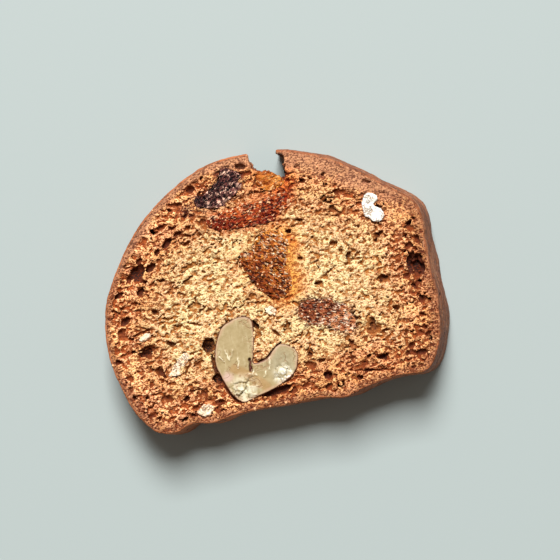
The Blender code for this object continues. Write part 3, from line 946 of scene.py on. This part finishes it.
def fruit_surface(node, deep, flesh, highlight, fleck, amount, size, turn, clean):
    """Sticky fruit: dark in its folds, partly its own deeper colour and partly painted shade, brighter on
    its strands, with painted highlights on its grain, painted shade in its hollows and pits, and crumbs and
    painted glints stuck to most of it.

    The fleck colour and the amount are the crumbs', the size and the turn are the strands', and clean
    is the direction in degrees of the side with the fewest crumbs.
    """
    material, tree, shader = new_surface(node + "_flesh", 0.12)
    place = object_place(tree)
    x, y, _ = parts_of(place)
    low, high = (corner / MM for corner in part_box(node))
    centre = (low + high) / 2.0 - LEAN / 2.0
    half = (high - low).length / 2.0
    towards = Vector((math.cos(math.radians(clean)), math.sin(math.radians(clean))))
    cleaner = ((x - centre.x) * towards.x + (y - centre.y) * towards.y) * (1.0 / half)
    grain, bumps = use(tree, GRAIN, Size=0.5, Contrast=1.4)
    fray = use(tree, FRAY, Size=size, Turn=turn)[0]
    pits = noise(streaks(place, turn, 1.5), 0.55, 2.0)
    bare = ramp(cleaner + waver(1.6, place, 1.7, 2.0), -0.45, 0.45)
    near_edge = ramp(kept(tree, "rim"), 0.1, 1.1, 0.16, 0.0)
    clusters = waver(0.4, place, 2.0, 1.0)
    share = amount - bare * 0.42 + near_edge + clusters
    flecks = use(tree, FLECKS, Size=0.28, Amount=share, Turn=turn)[0]
    # Dark in the folds between the strands, partly the fruit's own deeper colour and partly painted shade.
    colour = mix(ramp(fray, 0.15, 0.9), deep, flesh)
    # Painted highlight: the grain's high spots take a lighter colour, less on the clean side.
    colour = mix(ramp(grain, 0.50, 0.80) * ramp(bare, 0.0, 1.0, 1.0, 0.35), colour, highlight)
    colour = tint(bare * 0.75, colour, (0.48, 0.34, 0.30))
    # Painted shade in the hollows and in small pits.
    colour = mix(ramp(kept(tree, "hollow"), 0.01, 0.09), colour, deep)
    colour = mix(ramp(pits, 0.44, 0.50, 0.97, 0.0), colour, deep)
    # Flecks take the crumb colour or the highlight colour: crumbs and sugar, and painted glints.
    stuck = mix(ramp(noise(place, 0.8, 1.0), 0.44, 0.56), highlight, fleck)
    colour = mix(flecks, colour, stuck)
    height = fray * 0.8 + bumps + flecks
    feed(shader, colour, flecks, 0.42, 0.85, height, 0.15)
    return material


fruit_shape = fruit_tree()
FRUIT = {
    "raisin": {
        "deep": (0.003, 0.001, 0.002), "flesh": (0.024, 0.007, 0.009), "highlight": (0.24, 0.08, 0.065),
        "fleck": (0.9, 0.53, 0.38), "amount": 0.56, "size": 0.6, "turn": 40.0, "clean": 125.0,
    },
    "cherry": {
        "deep": (0.04, 0.001, 0.0), "flesh": (0.31, 0.026, 0.005), "highlight": (0.64, 0.14, 0.03),
        "fleck": (0.99, 0.56, 0.3), "amount": 0.65, "size": 0.5, "turn": 12.0, "clean": -95.0,
    },
    "apricot": {
        "deep": (0.05, 0.005, 0.0), "flesh": (0.4, 0.082, 0.01), "highlight": (0.76, 0.29, 0.05),
        "fleck": (0.99, 0.74, 0.48), "amount": 0.54, "size": 0.5, "turn": -35.0, "clean": 215.0,
    },
    "date": {
        "deep": (0.045, 0.005, 0.001), "flesh": (0.36, 0.082, 0.025), "highlight": (0.7, 0.28, 0.115),
        "fleck": (0.99, 0.73, 0.51), "amount": 0.7, "size": 0.5, "turn": -15.0, "clean": 105.0,
    },
    "chip_apricot": {
        "deep": (0.26, 0.05, 0.006), "flesh": (0.62, 0.18, 0.025), "highlight": (0.8, 0.32, 0.06),
        "fleck": (0.99, 0.56, 0.24), "amount": 0.44, "size": 0.6, "turn": 10.0, "clean": 90.0,
    },
}
for node, look in FRUIT.items():
    baked_in(
        node, node, fruit_shape, Swell=0.36, Lumps=1.8, Lift=0.1, Tear=0.55,
        Tear_Size=look["size"], Turn=look["turn"], Material=fruit_surface(node, **look),
    )

# ------------------------------------------------------------
# Nut bits. A curled white nut piece and small pale slivers, crushed by the knife at the cut face. Each
# sits in its own shallow pocket of the crumb.


def nut_bit_surface(name, shade, light, gap, crumbs):
    """Chalky crushed nut with a share of crumbs on it."""
    material, tree, shader = new_surface(name, 0.3)
    grain, bumps = use(tree, GRAIN, Size=0.5, Contrast=1.5)
    cracks, ridges = use(tree, CREVICES, Size=0.9, Width=0.06)
    colour = mix(grain, shade, light)
    flecks = use(tree, FLECKS, Size=0.35, Amount=crumbs)[0]
    colour = mix(flecks * 0.9, colour, (0.95, 0.52, 0.24))
    # Painted shade in the cracks and hollows.
    dark = most(cracks * 0.8, ramp(kept(tree, "hollow"), 0.01, 0.08))
    colour = mix(dark, colour, gap)
    feed(shader, colour, grain, 0.55, 0.8, bumps + ridges, 0.10)
    return material


white = nut_bit_surface("white_nut", (0.76, 0.72, 0.62), (0.97, 0.96, 0.90), (0.40, 0.26, 0.15), 0.22)
pale = nut_bit_surface("pale_nut", (0.78, 0.58, 0.36), (0.97, 0.88, 0.70), (0.30, 0.12, 0.04), 0.44)
baked_in(
    "white_nut", "white_nut", fruit_shape, Swell=0.22, Lumps=0.9, Lift=0.1, Tear=0.5,
    Tear_Size=0.6, Turn=70.0, Material=white,
)
for node, turn in {"left_sliver": 30.0, "middle_sliver": 55.0, "centre_bit": 0.0, "base_bit": 20.0}.items():
    baked_in(
        node, "pale_nut", fruit_shape, Swell=0.12, Lumps=1.8, Lift=-0.15, Tear=0.6,
        Tear_Size=0.5, Turn=turn, Material=pale,
    )

# ------------------------------------------------------------
# Loose crumbs. Grains of the crumb that the knife has dragged over the cut: they stick to the fruit and
# lie here and there on the rest. Small lumps of a few faces, scattered by a rule.
LEVEL_ENOUGH = 0.75  # a crumb stays on a face whose normal's z is above this
SQUARE_MM_IN_METRE = 1e6


def random_between(tree, low, high, seed):
    """A random number for each point, between two numbers."""
    values = {"Min": low, "Max": high, "Seed": seed}
    made = add_node(tree, "FunctionNodeRandomValue", data_type="FLOAT")
    for title, value in values.items():
        socket = next(s for s in made.inputs if s.name == title and s.enabled)
        if isinstance(value, Flow):
            tree.links.new(value.socket, socket)
        else:
            socket.default_value = value
    return Flow(next(s for s in made.outputs if s.enabled))


def scatter_tree():
    """Scatters lumps on the upward faces of a mesh near its top."""
    tree, given = shape_tree(
        "loose_crumbs", Density="Float", Smallest="Float", Largest="Float", Lowest="Float", Seed="Int",
        Material="Material",
    )
    normal = out(add_node(tree, "GeometryNodeInputNormal"))
    height = parts_of(millimetres(tree))[2]
    exposed = calc("GREATER_THAN", parts_of(normal)[2], LEVEL_ENOUGH)
    exposed = exposed * calc("GREATER_THAN", height, given["Lowest"])
    density = given["Density"] * exposed * SQUARE_MM_IN_METRE
    spots = {"Mesh": given["Geometry"], "Density": density, "Seed": given["Seed"]}
    points = out(add_node(tree, "GeometryNodeDistributePointsOnFaces", spots), "Points")
    lump = out(add_node(tree, "GeometryNodeMeshIcoSphere", {"Radius": MM, "Subdivisions": 1}))
    size = random_between(tree, given["Smallest"], given["Largest"], 1)
    length = random_between(tree, 0.7, 1.9, 2)
    turn = random_between(tree, 0.0, 2.0 * math.pi, 3)
    placed = {
        "Points": points, "Instance": lump, "Rotation": point(tree, turn * 0.4, turn * 1.7, turn),
        "Scale": point(tree, size * length, size, size * 0.8),
    }
    lumps = out(add_node(tree, "GeometryNodeInstanceOnPoints", placed))
    close_tree(tree, lumps, given["Material"])
    return tree


def loose_crumb_surface():
    """Toasted crumb, as dry as the rest."""
    material, tree, shader = new_surface("loose_crumb", 0.25)
    grain, bumps = use(tree, GRAIN, Size=0.6, Contrast=2.0)
    colour = mix(ramp(grain, 0.3, 0.7), (0.45, 0.16, 0.06), (0.88, 0.50, 0.25))
    feed(shader, colour, grain, 0.7, 0.95, bumps, 0.05)
    return material


def tops_of(name, pieces):
    """One mesh of several finished pieces, to scatter on."""
    joined = bmesh.new()
    for piece in pieces:
        joined.from_mesh(piece.data)
    return as_mesh(joined, name)


scatter = scatter_tree()
loose_crumb = loose_crumb_surface()
STICKY = ("cherry", "apricot", "date", "chip_apricot")
fruit_tops = tops_of("fruit_tops", [bpy.data.objects[node + "_piece"] for node in STICKY])
stuck = grow(
    "crumbs_on_fruit", fruit_tops, scatter, Density=0.5, Smallest=0.08, Largest=0.26,
    Lowest=CUT_HEIGHT - 0.8, Seed=4, Material=loose_crumb,
)
finished(stuck, "crumb")
cut_top = tops_of("cut_top", [bpy.data.objects["crumb_upper"]])
strewn = grow(
    "crumbs_on_cut", cut_top, scatter, Density=0.12, Smallest=0.12, Largest=0.32,
    Lowest=CUT_HEIGHT - 0.35, Seed=9, Material=loose_crumb,
)
finished(strewn, "crumb")

# ------------------------------------------------------------
# Camera, floor and light. The camera looks straight down, turned about its own line of sight. The floor
# is plain and pale, and a large soft window lights it from the top of the frame, with a dim warm room.
CAMERA_ROLL = math.radians(14.0)
CAMERA_RISE = 400.0
CAMERA_AIM = (1.78, 0.16)
FRAME_WIDTH = 100.8
SENSOR = 36.0
FARTHEST_SEEN = 10.0  # metres, as are the floor's and the window's sizes
FLOOR_REACH = 2.0
FLOOR_GREY = (0.361, 0.417, 0.407, 1.0)
FLOOR_ROUGHNESS = 0.6
WINDOW_SIZE = (1.4, 1.9)
WINDOW_AWAY = 2.4
WINDOW_HIGH = 3.07
WINDOW_POWER = 271.0
WINDOW_TURN = CAMERA_ROLL - math.radians(8.0)  # clockwise from +Y
ROOM_COLOUR = (1.0, 0.87, 0.77, 1.0)
ROOM_STRENGTH = 0.20

camera_data = bpy.data.cameras.new("camera")
camera_data.sensor_width = SENSOR
camera_data.lens = SENSOR * CAMERA_RISE / FRAME_WIDTH
camera_data.clip_end = FARTHEST_SEEN
camera = in_scene("camera", camera_data)
camera.location = (CAMERA_AIM[0] * MM, CAMERA_AIM[1] * MM, (CUT_HEIGHT + CAMERA_RISE) * MM)
camera.rotation_euler = (0.0, 0.0, -CAMERA_ROLL)
bpy.context.scene.camera = camera

floor_mesh = bpy.data.meshes.new("floor")
floor_corners = [(x * FLOOR_REACH, y * FLOOR_REACH, 0) for x, y in ((-1, -1), (1, -1), (1, 1), (-1, 1))]
floor_mesh.from_pydata(floor_corners, [], [(0, 1, 2, 3)])
floor = in_scene("floor", floor_mesh)
floor_material = bpy.data.materials.new("floor")
floor_material.use_nodes = True
floor_shader = floor_material.node_tree.nodes["Principled BSDF"]
floor_shader.inputs["Base Color"].default_value = FLOOR_GREY
floor_shader.inputs["Roughness"].default_value = FLOOR_ROUGHNESS
floor_mesh.materials.append(floor_material)

window_data = bpy.data.lights.new("window", "AREA")
window_data.shape = "RECTANGLE"
window_data.size, window_data.size_y = WINDOW_SIZE
window_data.energy = WINDOW_POWER
window = in_scene("window", window_data)
window.location = (WINDOW_AWAY * math.sin(WINDOW_TURN), WINDOW_AWAY * math.cos(WINDOW_TURN), WINDOW_HIGH)
window.rotation_euler = (-window.location).to_track_quat("-Z", "Y").to_euler()

room = bpy.data.worlds.new("room")
room.use_nodes = True
room.node_tree.nodes["Background"].inputs["Color"].default_value = ROOM_COLOUR
room.node_tree.nodes["Background"].inputs["Strength"].default_value = ROOM_STRENGTH
bpy.context.scene.world = room
bpy.context.scene.view_settings.view_transform = "Standard"

for guide in (wall, fillings, apricots, cherry, dark_fruit):
    bpy.data.objects.remove(guide)
